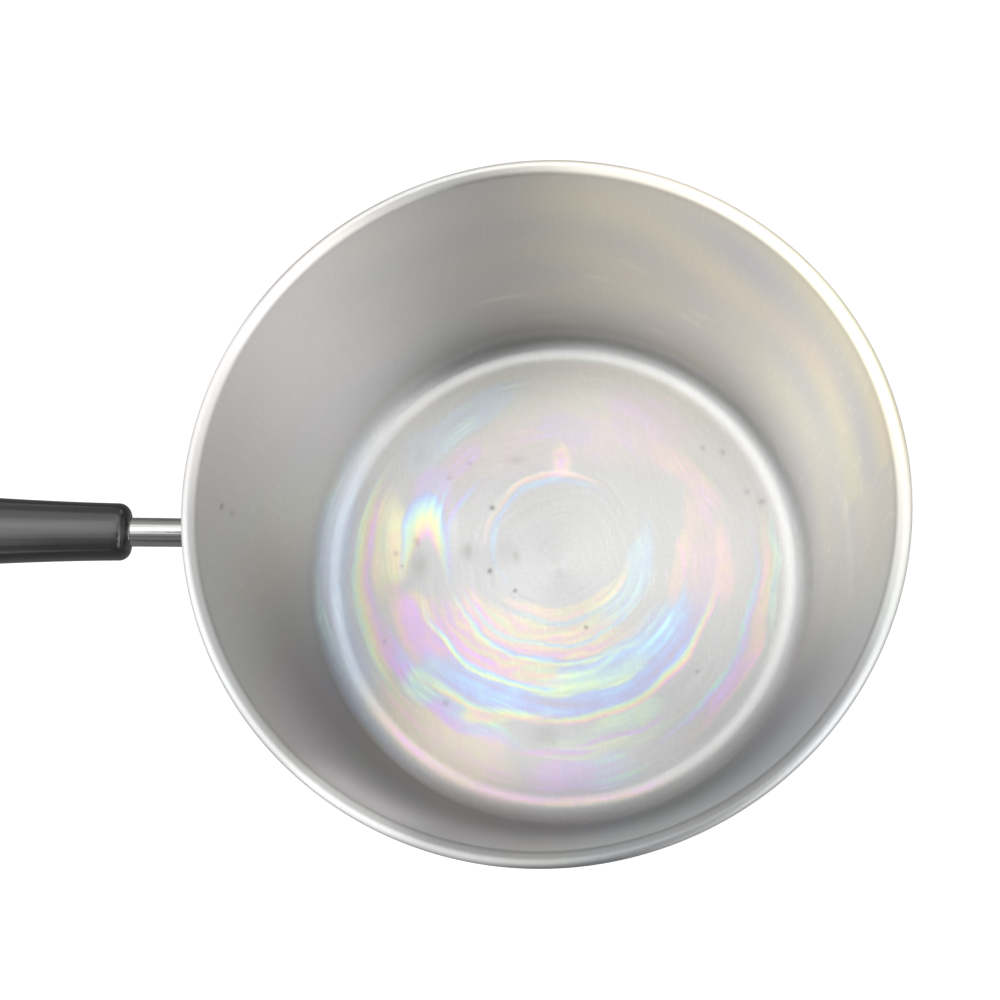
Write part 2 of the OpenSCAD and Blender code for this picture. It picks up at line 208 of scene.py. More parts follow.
# Stretches of oxide film, laid one over another like licks of a drying puddle. Each lies inside
# its front, part of a circle: centre x, y and squash in x; radius at the front's start and end;
# start and end in degrees; depth that it reaches inwards; optical path at the start and the end
# in nm and its rise per mm inwards; strength of the colour; softness of the front. Lengths in mm.
# A path of 1475 nm with almost no strength wipes off the colour that lies under it.
film_bands = [
    # the far half, faint
    (0, 0, 1, 82, 82, 20, 140, 30, 900, 890, 0, 0.04, 5),
    (0, 0, 1, 68, 58, 20, 150, 22, 985, 930, 2, 0.06, 6),
    (0, 0, 1, 76, 72, 92, 146, 12, 700, 680, 0, 0.08, 6),
    (-50, 48, 0.6, 9, 9, 0, 360, 9, 690, 690, 0, 0.04, 6),
    (0, 0, 1, 60, 58, 116, 140, 10, 1050, 1040, 0, 0.08, 6),
    (0, 0, 1, 58, 60, 64, 100, 12, 1050, 1040, 0, 0.05, 6),
    (0, 0, 1, 74, 74, 36, 74, 18, 1000, 1040, 0, 0.06, 8),
    (0, 8, 1, 66, 54, 4, 50, 9, 960, 975, 0, 0.10, 4),
    # along the floor's rounded edge
    (0, 0, 1, 90, 90, 136, 246, 11.5, 650, 668, 0, 0.12, 2),
    (0, 0, 1, 77.2, 76.5, 140, 226, 7, 750, 730, 52, 0.17, 1.5),
    (0, 0, 1, 86, 86, 204, 262, 26, 915, 965, 0, 0.13, 4),
    (0, 0, 1, 80, 80, 254, 292, 14, 1030, 1240, 0, 0.13, 3),
    (0, 0, 1, 84, 84.5, 228, 300, 3, 960, 900, 40, 0.13, 1),
    (0, 0, 1, 80.5, 80.5, 336, 374, 3, 740, 740, 20, 0.12, 1),
    (0, 0, 1, 77.5, 77.5, 298, 376, 4.5, 950, 930, 12, 0.15, 1.5),
    # the sweep on the left
    (-2, 0, 1, 70, 66, 146, 192, 13, 905, 940, -4, 0.18, 3),
    (-52, -14, 0.8, 8, 8, 0, 360, 8, 940, 940, 0, 0.16, 6),
    (-2, 0, 1, 69.5, 66, 188, 262, 9, 1010, 1180, 16, 0.24, 2),
    (-2, 0, 1, 63, 60, 180, 226, 12, 975, 1000, 8, 0.20, 3),
    (-2, 0, 1, 58.5, 58, 190, 226, 14, 1080, 1060, -4, 0.19, 3),
    (-6, -2, 1, 47, 46, 196, 236, 8, 1090, 1080, 0, 0.18, 3),
    (-49, -39, 1.3, 7, 7, 0, 360, 7, 730, 730, 8, 0.20, 5),
    (-28, -52, 2.6, 3.4, 3.4, 0, 360, 3.4, 880, 880, 30, 0.17, 2),
    # the sweep on the right
    (0, 0, 1, 77, 76.5, 308, 334, 5, 1060, 1080, 0, 0.16, 2.5),
    (0, 0, 1, 72.8, 72, 290, 372, 3.2, 1110, 1160, 32, 0.19, 1.2),
    (0, 0, 1, 69.6, 69, 292, 372, 9, 1475, 1475, 0, 0.03, 1.5),
    (0, 0, 1, 70, 69, 254, 310, 10, 850, 800, -4, 0.07, 2),
    (0, 0, 1, 68.6, 67.5, 250, 282, 2.2, 1000, 1080, 40, 0.14, 1),
    (0, 0, 1, 65, 65.6, 266, 308, 1.8, 1090, 1090, 20, 0.11, 0.8),
    (0, 0, 1, 61.5, 62.5, 276, 308, 7, 800, 780, 0, 0.14, 2.5),
    (0, 0, 1, 63, 63, 338, 376, 7, 1000, 980, -6, 0.13, 2.5),
    # the main band
    (0, 2, 1, 67.6, 53.4, 212, 275, 3.0, 990, 1000, -110, 0.22, 0.8),
    (0, 2, 1, 58.2, 59.0, 244, 362, 3.0, 1010, 1030, -115, 0.20, 0.9),
    (0, 2, 1, 65, 50.8, 206, 275, 13, 600, 630, 4, 0.27, 1.2),
    (0, 2, 1, 55.4, 56.2, 236, 362, 17, 600, 590, 7, 0.25, 1.2),
    (0, 2, 1, 48.5, 50, 246, 316, 10, 850, 790, -14, 0.22, 1.5),
    (0, 8, 1, 60, 58, 322, 392, 11, 1060, 990, -6, 0.08, 3),
    (0, 10, 1, 49, 50, 322, 368, 6, 1000, 960, -6, 0.11, 2.5),
    # thinner fronts inside it
    (-8, 5, 1, 44.8, 51.6, 192, 292, 2.8, 900, 880, -110, 0.30, 0.7),
    (-8, 5, 1, 42.2, 49.0, 194, 286, 16, 1050, 960, -3, 0.18, 1.0),
    (-10, -38, 2.8, 3, 3, 0, 360, 3, 860, 860, 25, 0.15, 1.5),
    (0, 10, 1, 44, 47.6, 192, 306, 2.4, 860, 860, -110, 0.22, 0.7),
    (0, 10, 1, 41.8, 45.4, 194, 318, 10, 1040, 960, -6, 0.17, 1.0),
    (-1.5, 9.5, 1, 39.2, 39.2, 188, 350, 1.8, 800, 760, -70, 0.15, 0.6),
    (-1.5, 9.5, 1, 37.6, 37.4, 196, 330, 7, 960, 930, -4, 0.14, 1.0),
    (0, 10, 1, 37, 36, 282, 374, 8, 730, 690, 2, 0.12, 2.5),
    (0, 10, 1, 31.5, 31.5, 224, 336, 2.0, 740, 740, 0, 0.09, 0.8),
    (0, 10, 1, 29.6, 29.6, 212, 350, 4, 960, 920, -6, 0.14, 0.9),
    # the bright patch on the left
    (-45, 32, 0.7, 10, 10, 0, 360, 10, 1130, 1130, 4, 0.14, 6),
    (-49, 5, 0.36, 28, 28, -30, 204, 19, 610, 610, 24, 0.25, 2.0),
    (-49, 3, 0.36, 11, 11, 0, 360, 11, 1475, 1475, 0, 0.03, 5),
    (-17, 10, 1, 27.5, 22.5, 104, 206, 2.6, 1150, 1170, 24, 0.22, 0.8),
    (-17, 10, 1, 24.9, 19.9, 90, 210, 14, 1475, 1475, 0, 0.04, 1.5),
    # the clean disc in the middle and the line round it
    (4, 40, 0.45, 7, 7, 0, 360, 7, 940, 940, 16, 0.14, 5),
    (0, 10, 1, 24.8, 24.8, 0, 360, 24.8, 1475, 1475, 0, 0.0, 1),
    (0, 10, 1, 27.0, 26.4, 30, 184, 2.0, 960, 930, 20, 0.14, 0.8),
    (0, 10, 1, 24.6, 24.2, 24, 236, 2.2, 650, 670, 8, 0.14, 0.8),
]
# the pan's points in mm, and the same moved a little so that the fronts aren't true circles
points = np.empty(len(pan_shell.data.vertices) * 3)
pan_shell.data.vertices.foreach_get("co", points)
x, y, z = points.reshape(-1, 3).T / mm
bent_x = x + 0.5 * ripple(x, y, 24, 1) + 0.06 * ripple(x, y, 5, 2)
bent_y = y + 0.5 * ripple(x, y, 24, 3) + 0.06 * ripple(x, y, 5, 4)
# the film's path wavers in streaks left by stirring and wiping, which run round the pan, and in
# fine rings where it has boiled dry
far, turn = np.hypot(x + 3, y - 8), np.degrees(np.arctan2(y - 8, x + 3)) % 360
ringed = smooth((turn - 180) / 25) * smooth((345 - turn) / 30)
ringed = ringed * smooth((far - 24) / 4) * smooth((52 - far) / 5)
swept = np.hypot(x, y - 5) + 1.5 * ripple(x, y, 70, 9)
streak = ripple(swept, 0 * x, 5, 10) * (0.6 + 0.6 * ripple(x, y, 35, 11))
fine_streak = ripple(swept, 0 * x, 1.8, 12) * (0.5 + 0.6 * ripple(x, y, 22, 13))
waver = 45 * ringed * np.sin(2 * np.pi * (far + 0.8 * ripple(x, y, 14, 8)) / 4.3)
waver += 22 * streak + 10 * fine_streak + 10 * ripple(x, y, 9, 5)
patchy = 1 + 0.16 * streak + 0.10 * fine_streak
# what multiplies the bare steel's red, green and blue at each point: the oxide film, wear, and
# painted light and shade
film_wear_and_painted_light = 1 + np.zeros((len(x), 3))


def film_hue(path, strength):
    """What a film does to red, green and blue: each is 1 + strength * (0.6 - cos(2 pi path /
    wavelength)), with wavelengths of 640, 545 and 450 nm."""
    wave = np.array([640, 545, 450])
    beat = np.cos(2 * np.pi * np.expand_dims(path, -1) / wave)
    return 1 + np.expand_dims(strength, -1) * (0.6 - beat)


for cx, cy, squash, r0, r1, a0, a1, width, path0, path1, rise, strength, soft in film_bands:
    across, up = (bent_x - cx) / squash, bent_y - cy
    share = np.mod(np.degrees(np.arctan2(up, across)) - a0, 360) / (a1 - a0)
    taper = smooth(3 * (0.5 - np.abs(share - 0.5))) if a1 - a0 < 360 else 1 + 0 * x
    depth = r0 + (r1 - r0) * np.clip(share, 0, 1) - np.hypot(across, up)
    laid = path0 + (path1 - path0) * np.clip(share, 0, 1) + rise * np.clip(depth, 0, width)
    reach = width * (0.35 + 0.65 * taper)
    cover = smooth((reach - depth) / max(soft, 0.45 * width) + 0.5) * taper**0.7
    cover = cover * smooth(depth / soft + 0.5)
    film_wear_and_painted_light += (film_hue(laid + waver, strength * patchy) - film_wear_and_painted_light) * cover[:, None]
# a painted reflection on the wall, drawn as a faint film: it tints the wall with the colours the
# wall mirrors. Its path in nm, and its strength in thousandths, by the angle round the pan; it
# fades towards the floor
turn = np.degrees(np.arctan2(y, x)) % 360
wall_turns = [0, 45, 80, 110, 155, 180, 205, 235, 262, 277, 310, 325, 345]
painted_reflection_paths = [910, 915, 915, 940, 955, 955, 690, 955, 955, 690, 690, 690, 910]
painted_reflection_tints = [85, 95, 80, 25, 30, 5, 8, 4, 4, 25, 35, 10, 50]
painted_reflection_path = np.interp(turn, wall_turns, painted_reflection_paths, period=360) + 8 * ripple(turn, z, 50, 6)
painted_reflection_tint = np.interp(turn, wall_turns, painted_reflection_tints, period=360) / 1000
painted_reflection_tint = painted_reflection_tint * (0.5 + 0.5 * smooth((z - 25) / 50))
wall_height = z - floor_z / mm
on_wall = smooth((wall_height - 4) / 8)
on_floor = 1 - on_wall
painted_reflection_hue = film_hue(painted_reflection_path, painted_reflection_tint * (1 + 0.3 * ripple(turn, z, 40, 7)))
film_wear_and_painted_light += (painted_reflection_hue - film_wear_and_painted_light) * on_wall[:, None]
# how bright use has left the steel, with painted light in it: streaks and grains on the floor, a
# fine rubbed line round its middle, and a painted highlight along the floor's rounded edge on the
# far side
wear_and_painted_light = 1 + (0.012 * fine_streak + 0.010 * streak + 0.010 * ripple(x, y, 2.5, 14)) * on_floor
around = np.degrees(np.arctan2(y - 10, x)) % 360
rubbed = smooth((around - 40) / 40) * smooth((190 - around) / 60)
wear_and_painted_light += 0.11 * rubbed * np.exp(-(((np.hypot(x, y - 10) - 26.3) / 0.8) ** 2)) * on_floor
# a painted highlight along the floor's rounded edge on the far side
off = (turn - 40 + 180) % 360 - 180
painted_edge_highlight = np.exp(-((off / 95) ** 4)) * on_floor
wear_and_painted_light += 0.16 * painted_edge_highlight * np.exp(-(((np.hypot(x, y) - 82.5) / 2.5) ** 2))
# stains and specks that darken the floor, and below zero places painted lighter: the three
# widest, on the far half and the near side, are painted light, the rest places rubbed lighter.
# Columns: x, y, half width, half height, and how much darker
for cx, cy, half_w, half_h, strength in (
    (-51, 4, 3.2, 5.0, 0.17), (-33, 8, 2.6, 3.4, 0.22), (-13, 42, 3.5, 1.5, 0.15), (-8, -60, 4.5, 3.5, 0.14),
    (-19, 8, 4.0, 6.0, 0.08), (-23, 24, 0.9, 0.9, 0.6), (-25, 0, 0.8, 0.9, 0.6), (-16, -8, 0.7, 0.7, 0.5),
    (9, -23, 0.7, 0.7, 0.5), (-43, -47, 1.0, 1.0, 0.3), (57, 41, 0.8, 0.8, 0.3), (64, 39, 1.1, 1.0, 0.28),
    (76, 19, 1.5, 1.2, 0.28), (71, 23, 1.1, 0.9, 0.2), (-52, 13, 1.2, 2.0, 0.28), (-60, 9, 1.0, 1.0, 0.25),
    (-58, 4, 0.8, 0.8, 0.25), (-31, 42, 1.0, 0.8, 0.2), (-39, 37, 1.0, 0.8, 0.2), (-65, -24, 0.7, 0.7, 0.3),
    (47, -41, 0.7, 0.7, 0.3), (-50, 46, 3.0, 4.0, 0.06), (-15, 5, 1.4, 2.6, 0.16), (-5, -63, 1.2, 1.0, 0.12),
    (-48, 20, 6, 8, -0.12), (-61, 19, 5, 10, -0.10), (-38, 18, 2, 9, -0.10), (4, 38, 5, 4, -0.10),
    # the wide rows below zero from here on are painted light
    (-62, -4, 6, 5, 0.06), (-25, 4, 4, 6, 0.06), (0, 64, 60, 22, -0.24), (-42, -62, 28, 15, -0.20),
    (4, -70, 40, 12, -0.22),
):
    wear_and_painted_light -= strength * np.exp(-(((x - cx) / half_w) ** 2) - ((y - cy) / half_h) ** 2) * on_floor
# rubbed streaks and two pits on the wall, and wide places of painted shade and painted light:
# painted shade over the near wall and low on the far wall, a painted dark line low in the far
# corner, and painted highlights high on the near left, on the right and high on the far side.
# Columns: angle, height, half length in degrees, rise per degree, half width, and how much
# lighter or darker
above_floor = np.clip(wall_height / 11, 0, 1) ** 0.8
for a0, z0, reach, rise, half_h, strength in (
    (97, 47, 7, 0.15, 1.3, 0.13), (75.4, 59.5, 3, 0.3, 1.4, 0.08), (54.6, 49.7, 3, 0.5, 1.3, 0.09),
    (88.7, 27, 4, -0.2, 1.4, 0.07), (83.1, 23, 3, 0.2, 1.2, 0.07), (62.4, 29.5, 3, 0.4, 1.4, 0.07),
    (52.6, 57, 2.5, -0.4, 1.3, 0.07), (66.8, 71, 3, 0.3, 1.5, 0.06), (69.4, 74, 2, 0.2, 1.3, 0.06),
    (353, 70, 14, -0.6, 3.0, 0.06), (177.2, 102.6, 0.6, 0, 0.9, -0.5), (176.9, 95, 0.6, 0, 0.9, -0.4),
    # from here on the wide rows are painted shade and painted light, and the row at 8.5 mm a painted shade
    # line in the corner
    (258, 20, 88, 0, 110, -0.58), (270, 50, 80, 0, 40, -0.16), (238, 112, 10, 0, 22, 0.3),
    (75, 14, 70, 0, 24, -0.3), (5, 70, 30, 0, 60, 0.17), (65, 8.5, 62, 0, 3, -1.0),
    (95, 120, 48, 0, 40, 0.18),
):
    off = (turn - a0 + 180) % 360 - 180
    spot = np.exp(-((off / reach) ** 4) - ((z - z0 - rise * off) / half_h) ** 2)
    wear_and_painted_light += strength * spot * above_floor
# only the inside gets this wear and painted light: the last point but one is the floor's middle.
# The outside has an even film that hardly shows.
food_side = np.arange(len(x)) < len(inner_face) * pan_points
food_side[-2] = True
film_wear_and_painted_light = np.where(food_side[:, None], film_wear_and_painted_light * wear_and_painted_light[:, None], film_hue(950, 0.015))
film_wear_and_painted_light = np.column_stack([film_wear_and_painted_light, 1 + 0 * x]).astype(np.float32)
pan_shell.data.attributes.new("film_wear_and_painted_light", "FLOAT_COLOR", "POINT").data.foreach_set("color", film_wear_and_painted_light.ravel())

# The floor scatters light nearly evenly from fine scouring. The wall's lines run round it, so a
# highlight spreads up and down it. Both end in the corner, where one turns into the other. A row
# holds a finish and how far its highlights are drawn out across the lines.
floor_rough, wall_rough, rim_rough = 0.48, 0.42, 0.4
line_gap = 1.2 * mm
hair_w, hair_l = 0.3 * mm, 9 * mm
for finish_name, lean in (("scoured_stainless_steel", 0.35), ("buffed_stainless_steel", 0.88)):
    steel_finish, tree, out = new_material(finish_name)
    split = add(tree, "SeparateXYZ", {0: add(tree, "UVMap", uv_map="run").outputs["UV"]})
    # lines that run round the pan, drawn coarser than the real ones so that they show
    bearing = add(tree, "Math", {0: split.outputs["X"], 1: 2 * np.pi}, operation="MULTIPLY")
    steps_out = add(tree, "Math", {0: split.outputs["Y"], 1: 1 / line_gap}, operation="MULTIPLY")
    grain = add(tree, "CombineXYZ", {
        "X": add(tree, "Math", {0: bearing.outputs[0]}, operation="COSINE").outputs[0],
        "Y": add(tree, "Math", {0: bearing.outputs[0]}, operation="SINE").outputs[0],
        "Z": steps_out.outputs[0],
    })
    lines = add(tree, "TexNoise", {
        "Vector": grain.outputs[0],
        "Scale": 2.0,
        "Detail": 3.0,
        "Roughness": 0.6,
    })
    to_wall = add(tree, "MapRange", {
        0: split.outputs["Y"],
        "From Min": flat_r + 4 * mm,
        "From Max": flat_r + 9 * mm,
    }, interpolation_type="SMOOTHSTEP")
    bare = add(tree, "Mix", {
        0: to_wall.outputs[0],
        6: linear("#d6d6d6"),
        7: linear("#dbdbdb"),
    }, data_type="RGBA")
    # the film, wear and painted light and shade from the mesh
    film_wear_and_light_attribute = add(tree, "Attribute", attribute_name="film_wear_and_painted_light")
    steel = add(tree, "VectorMath", {
        0: film_wear_and_light_attribute.outputs["Color"],
        1: bare.outputs[2],
    }, operation="MULTIPLY")
    # hair scratches across the floor, painted lighter in the colour: a painted glint where they catch
    # the light
    place = add(tree, "TexCoord")
    drawn_out = add(tree, "Mapping", {
        "Vector": place.outputs["Object"],
        "Rotation": (0, 0, 0.9),
        "Scale": (1 / hair_w, 1 / hair_l, 1 / hair_l),
    })
    hairs = add(tree, "TexNoise", {"Vector": drawn_out.outputs[0], "Scale": 1.0, "Detail": 2.0})
    thinned = add(tree, "MapRange", {0: hairs.outputs["Fac"], "From Min": 0.60, "From Max": 0.72})
    bright = add(tree, "MapRange", {0: thinned.outputs[0], "To Min": 1.0, "To Max": 1.08})
    glinting_steel = add(tree, "VectorMath", {0: steel.outputs[0], "Scale": bright.outputs[0]}, operation="SCALE")
    bump = add(tree, "Bump", {"Height": lines.outputs["Fac"], "Strength": 0.25, "Distance": 0.02 * mm})
    polish = add(tree, "MapRange", {0: to_wall.outputs[0], "To Min": floor_rough, "To Max": wall_rough})
    at_rim = add(tree, "MapRange", {
        0: split.outputs["Y"],
        "From Min": rim_run - 4 * mm,
        "From Max": rim_run,
    }, interpolation_type="SMOOTHSTEP")
    rough = add(tree, "Mix", {
        0: at_rim.outputs[0],
        2: polish.outputs[0],
        3: rim_rough,
    }, data_type="FLOAT")
    shade = add(tree, "BsdfPrincipled", {
        "Base Color": glinting_steel.outputs[0],
        "Metallic": 1.0,
        "Roughness": rough.outputs[0],
        "Normal": bump.outputs[0],
    })
    round_pan = add(tree, "Tangent", direction_type="UV_MAP", uv_map="run")
    shade.inputs["Anisotropic"].default_value = lean
    shade.inputs["Anisotropic Rotation"].default_value = 0.25
    tree.links.new(round_pan.outputs[0], shade.inputs["Tangent"])
    tree.links.new(shade.outputs[0], out.inputs["Surface"])
    pan_shell.data.materials.append(steel_finish)
# the buffed finish starts a third of the way round the corner
ring_of = np.arange(len(pan_shell.data.polygons)) // pan_points
buffed = ring_of >= floor_rings + corner_rings // 3
buffed = buffed & (ring_of < len(inner_face) + len(outer_face) - 1)
pan_shell.data.polygons.foreach_set("material_index", buffed.astype(np.int32))
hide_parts("pan_body")
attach(pan_shell, "pan")


# Base core: a disc of rolled aluminium bonded under the floor, which spreads the hob's heat. It
# is closed in all round by the steel cap, so only its plain mill finish is needed.
roll_l, roll_w = 40 * mm, 0.8 * mm


def dress(node_name, material):
    """Gives a CAD solid a material in place of its own."""
    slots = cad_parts[node_name].data.materials
    slots.clear()
    slots.append(material)


rolled, tree, out = new_material("rolled_aluminium")
place = add(tree, "TexCoord")
drawn_out = add(tree, "Mapping", {
    "Vector": place.outputs["Object"],
    "Scale": (1 / roll_l, 1 / roll_w, 1 / roll_w),
})
rolling = add(tree, "TexNoise", {"Vector": drawn_out.outputs[0], "Scale": 1.0, "Detail": 3.0})
tone = add(tree, "Mix", {
    0: rolling.outputs["Fac"],
    6: linear("#c3c6c9"),
    7: linear("#dcdedf"),
}, data_type="RGBA")
rough = add(tree, "MapRange", {0: rolling.outputs["Fac"], "To Min": 0.34, "To Max": 0.5})
shade = add(tree, "BsdfPrincipled", {
    "Base Color": tone.outputs[2],
    "Metallic": 1.0,
    "Roughness": rough.outputs[0],
})
tree.links.new(shade.outputs[0], out.inputs["Surface"])
dress("base_core", rolled)


# Base cap: a shallow cup of stainless steel pressed over the core and bonded to it. Its underside
# is turned flat in fine rings and stands on the hob, which scratches it and tints it by heat.
cap_t = 0.6 * mm
cap_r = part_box("base_cap")[1].x
cap_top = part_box("base_cap")[1].z
cap_edge_r = 2.4 * mm
lip_r = 0.15 * mm
inner_edge_r = cap_edge_r - cap_t
cup_r = cap_r - cap_t
cap_outline = np.concatenate([
    straight((pole_r, cap_t), (cup_r - inner_edge_r, cap_t), 6),
    arc(cup_r - inner_edge_r, cap_t + inner_edge_r, inner_edge_r, -90, 0, 6)[1:],
    straight((cup_r, cap_t + inner_edge_r), (cup_r, cap_top), 2)[1:],
    arc(cap_r - lip_r, cap_top - lip_r, lip_r, 90, 0, 4),
    arc(cap_r - cap_edge_r, cap_edge_r, cap_edge_r, 0, -90, 12),
    straight((cap_r - cap_edge_r, 0), (pole_r, 0), 60)[1:],
])
base_cup = skin("base_cup", turned(cap_outline))
ring_turned, tree, out = new_material("ring_turned_stainless_steel")
split = add(tree, "SeparateXYZ", {0: add(tree, "UVMap", uv_map="run").outputs["UV"]})
place = add(tree, "TexCoord")
# tool marks every 1.1 mm, coarser than the real 0.2 mm so that they show. At a scale of 1 the
# wave texture repeats once in a band_step, so the scale for any gap is band_step over that gap.
groove_gap = 1.1 * mm
band_step = 2 * np.pi / 20
lay = add(tree, "CombineXYZ", {"Z": split.outputs["Y"]})
grooves = add(tree, "TexWave", {
    "Vector": lay.outputs[0],
    "Scale": band_step / groove_gap,
    "Distortion": 0.0,
}, bands_direction="Z")
scuffs = add(tree, "TexNoise", {
    "Vector": place.outputs["Object"],
    "Scale": 1 / (9 * mm),
    "Detail": 6.0,
    "Roughness": 0.7,
    "Distortion": 0.6,
})
height = add(tree, "Math", {0: grooves.outputs["Fac"], 1: scuffs.outputs["Fac"]}, operation="ADD")
bump = add(tree, "Bump", {"Height": height.outputs[0], "Strength": 0.3, "Distance": 0.03 * mm})
heated = add(tree, "MapRange", {0: scuffs.outputs["Fac"], "From Min": 0.35, "From Max": 0.7})
tone = add(tree, "Mix", {
    0: heated.outputs[0],
    6: linear("#c7c5c1"),
    7: linear("#bdb5a8"),
}, data_type="RGBA")
rough = add(tree, "MapRange", {0: scuffs.outputs["Fac"], "To Min": 0.22, "To Max": 0.42})
shade = add(tree, "BsdfPrincipled", {
    "Base Color": tone.outputs[2],
    "Metallic": 1.0,
    "Roughness": rough.outputs[0],
    "Normal": bump.outputs[0],
})
tree.links.new(shade.outputs[0], out.inputs["Surface"])
base_cup.data.materials.append(ring_turned)
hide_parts("base_cap")
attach(base_cup, "pan")


# Handle foot: a pressed steel saddle, spot-welded to the wall at both sides of a collar. It was
# tumbled before welding, which leaves it evenly matt, and each weld has browned the steel round it.
tilt = np.radians(20)
foot_z = rim_z - 32 * mm
wall_r = shell_r + sheet_t
weld_y = 13 * mm
weld_r, stain_r = 2.5 * mm, 5.5 * mm
tumbled, tree, out = new_material("tumbled_stainless_steel")
place = add(tree, "TexCoord")
speckle = add(tree, "TexNoise", {
    "Vector": place.outputs["Object"],
    "Scale": 1 / (0.7 * mm),
    "Detail": 4.0,
    "Roughness": 0.65,
})
cloud = add(tree, "TexNoise", {"Vector": place.outputs["Object"], "Scale": 1 / (8 * mm), "Detail": 3.0})
tone = add(tree, "Mix", {
    0: cloud.outputs["Fac"],
    6: linear("#b0aeaa"),
    7: linear("#cbc9c5"),
}, data_type="RGBA")
for side in (-1, 1):
    weld = (-wall_r, side * weld_y, foot_z)
    gap = add(tree, "VectorMath", {0: place.outputs["Object"], 1: weld}, operation="DISTANCE")
    browned = add(tree, "MapRange", {
        0: gap.outputs["Value"],
        "From Min": weld_r,
        "From Max": stain_r,
        "To Min": 0.55,
        "To Max": 0.0,
    }, interpolation_type="SMOOTHSTEP")
    tone = add(tree, "Mix", {
        0: browned.outputs[0],
        6: tone.outputs[2],
        7: linear("#a58a5e"),
    }, data_type="RGBA")
bump = add(tree, "Bump", {"Height": speckle.outputs["Fac"], "Strength": 0.35, "Distance": 0.03 * mm})
rough = add(tree, "MapRange", {0: speckle.outputs["Fac"], "To Min": 0.3, "To Max": 0.46})
shade = add(tree, "BsdfPrincipled", {
    "Base Color": tone.outputs[2],
    "Metallic": 1.0,
    "Roughness": rough.outputs[0],
    "Normal": bump.outputs[0],
})
tree.links.new(shade.outputs[0], out.inputs["Surface"])
dress("handle_foot", tumbled)


# Neck: a stainless steel tube, cut to the pan's curve where it is brazed into the collar and
# polished bright. Years of knocks have left it faintly dented.
neck_r = 4.2 * mm
neck_t = 1.2 * mm
neck_l = 29 * mm
socket_l = 30 * mm
washer_t = 1.0 * mm
flange_t = 1.2 * mm
tube_end = neck_l + socket_l - washer_t - flange_t
bond_gap = 0.02 * mm
# the far end's bevel: its width, and the share of the neck's length where it starts
end_bevel, bevel_at = 0.2 * mm, 0.996
polish_gap, polish_l = 0.25 * mm, 30 * mm


def on_handle(d, up, side):
    """Points given along the handle: d out from the pan's wall, up across it, and side to the
    front, turned by the handle's tilt about the foot's middle."""
    x = -wall_r - d * np.cos(tilt) + up * np.sin(tilt)
    z = foot_z + d * np.sin(tilt) + up * np.cos(tilt)
    return np.stack([x, -side + 0 * x, z], axis=-1)


def tube_ring(radius, share, around=96):
    """A ring round the neck, share of the way from its cut end to its far end. The cut end lies on
    the pan's wall: there d = (sqrt(R^2 - side^2) - wall radius + up sin tilt) / cos tilt."""
    a = np.arange(around) * 2 * np.pi / around
    up, side = radius * np.cos(a), radius * np.sin(a)
    start = (np.sqrt((wall_r + bond_gap) ** 2 - side**2) - wall_r + up * np.sin(tilt)) / np.cos(tilt)
    share = np.atleast_1d(share)[:, None]
    return on_handle(start + (tube_end - start) * share, up + 0 * share, side + 0 * share)


neck_pipe = skin("neck_pipe", np.concatenate([
    tube_ring(neck_r, np.linspace(0, bevel_at, 60)),
    tube_ring(neck_r - end_bevel, 1.0),
    tube_ring(neck_r - neck_t, np.linspace(1, 0, 24)),
]), looped=True)
polished, tree, out = new_material("polished_stainless_steel")
place = add(tree, "TexCoord")
split = add(tree, "SeparateXYZ", {0: add(tree, "UVMap", uv_map="run").outputs["UV"]})
lines_round = 2 * np.pi * neck_r / polish_gap
steps_round = add(tree, "Math", {0: split.outputs["X"], 1: lines_round}, operation="MULTIPLY")
steps_along = add(tree, "Math", {0: split.outputs["Y"], 1: 1 / polish_l}, operation="MULTIPLY")
drawn_out = add(tree, "CombineXYZ", {"X": steps_round.outputs[0], "Y": steps_along.outputs[0]})
polish = add(tree, "TexNoise", {"Vector": drawn_out.outputs[0], "Scale": 1.0, "Detail": 2.0})
dents = add(tree, "TexNoise", {"Vector": place.outputs["Object"], "Scale": 1 / (5 * mm), "Detail": 2.0})
fine = add(tree, "Bump", {"Height": polish.outputs["Fac"], "Strength": 0.12, "Distance": 0.01 * mm})
bump = add(tree, "Bump", {
    "Height": dents.outputs["Fac"],
    "Strength": 0.5,
    "Distance": 0.12 * mm,
    "Normal": fine.outputs[0],
})
tone = add(tree, "Mix", {
    0: dents.outputs["Fac"],
    6: linear("#d6d5d3"),
    7: linear("#e2e1df"),
}, data_type="RGBA")
rough = add(tree, "MapRange", {0: polish.outputs["Fac"], "To Min": 0.08, "To Max": 0.16})
shade = add(tree, "BsdfPrincipled", {
    "Base Color": tone.outputs[2],
    "Metallic": 1.0,
    "Roughness": rough.outputs[0],
    "Normal": bump.outputs[0],
})
tree.links.new(shade.outputs[0], out.inputs["Surface"])
neck_pipe.data.materials.append(polished)
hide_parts("neck_tube")
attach(neck_pipe, "pan")


# Neck plug: a turned steel plug with a flange, brazed into the neck's end inside the grip and
# threaded for the tie rod. It keeps the fine rings of the lathe.
lathe_gap = 0.3 * mm
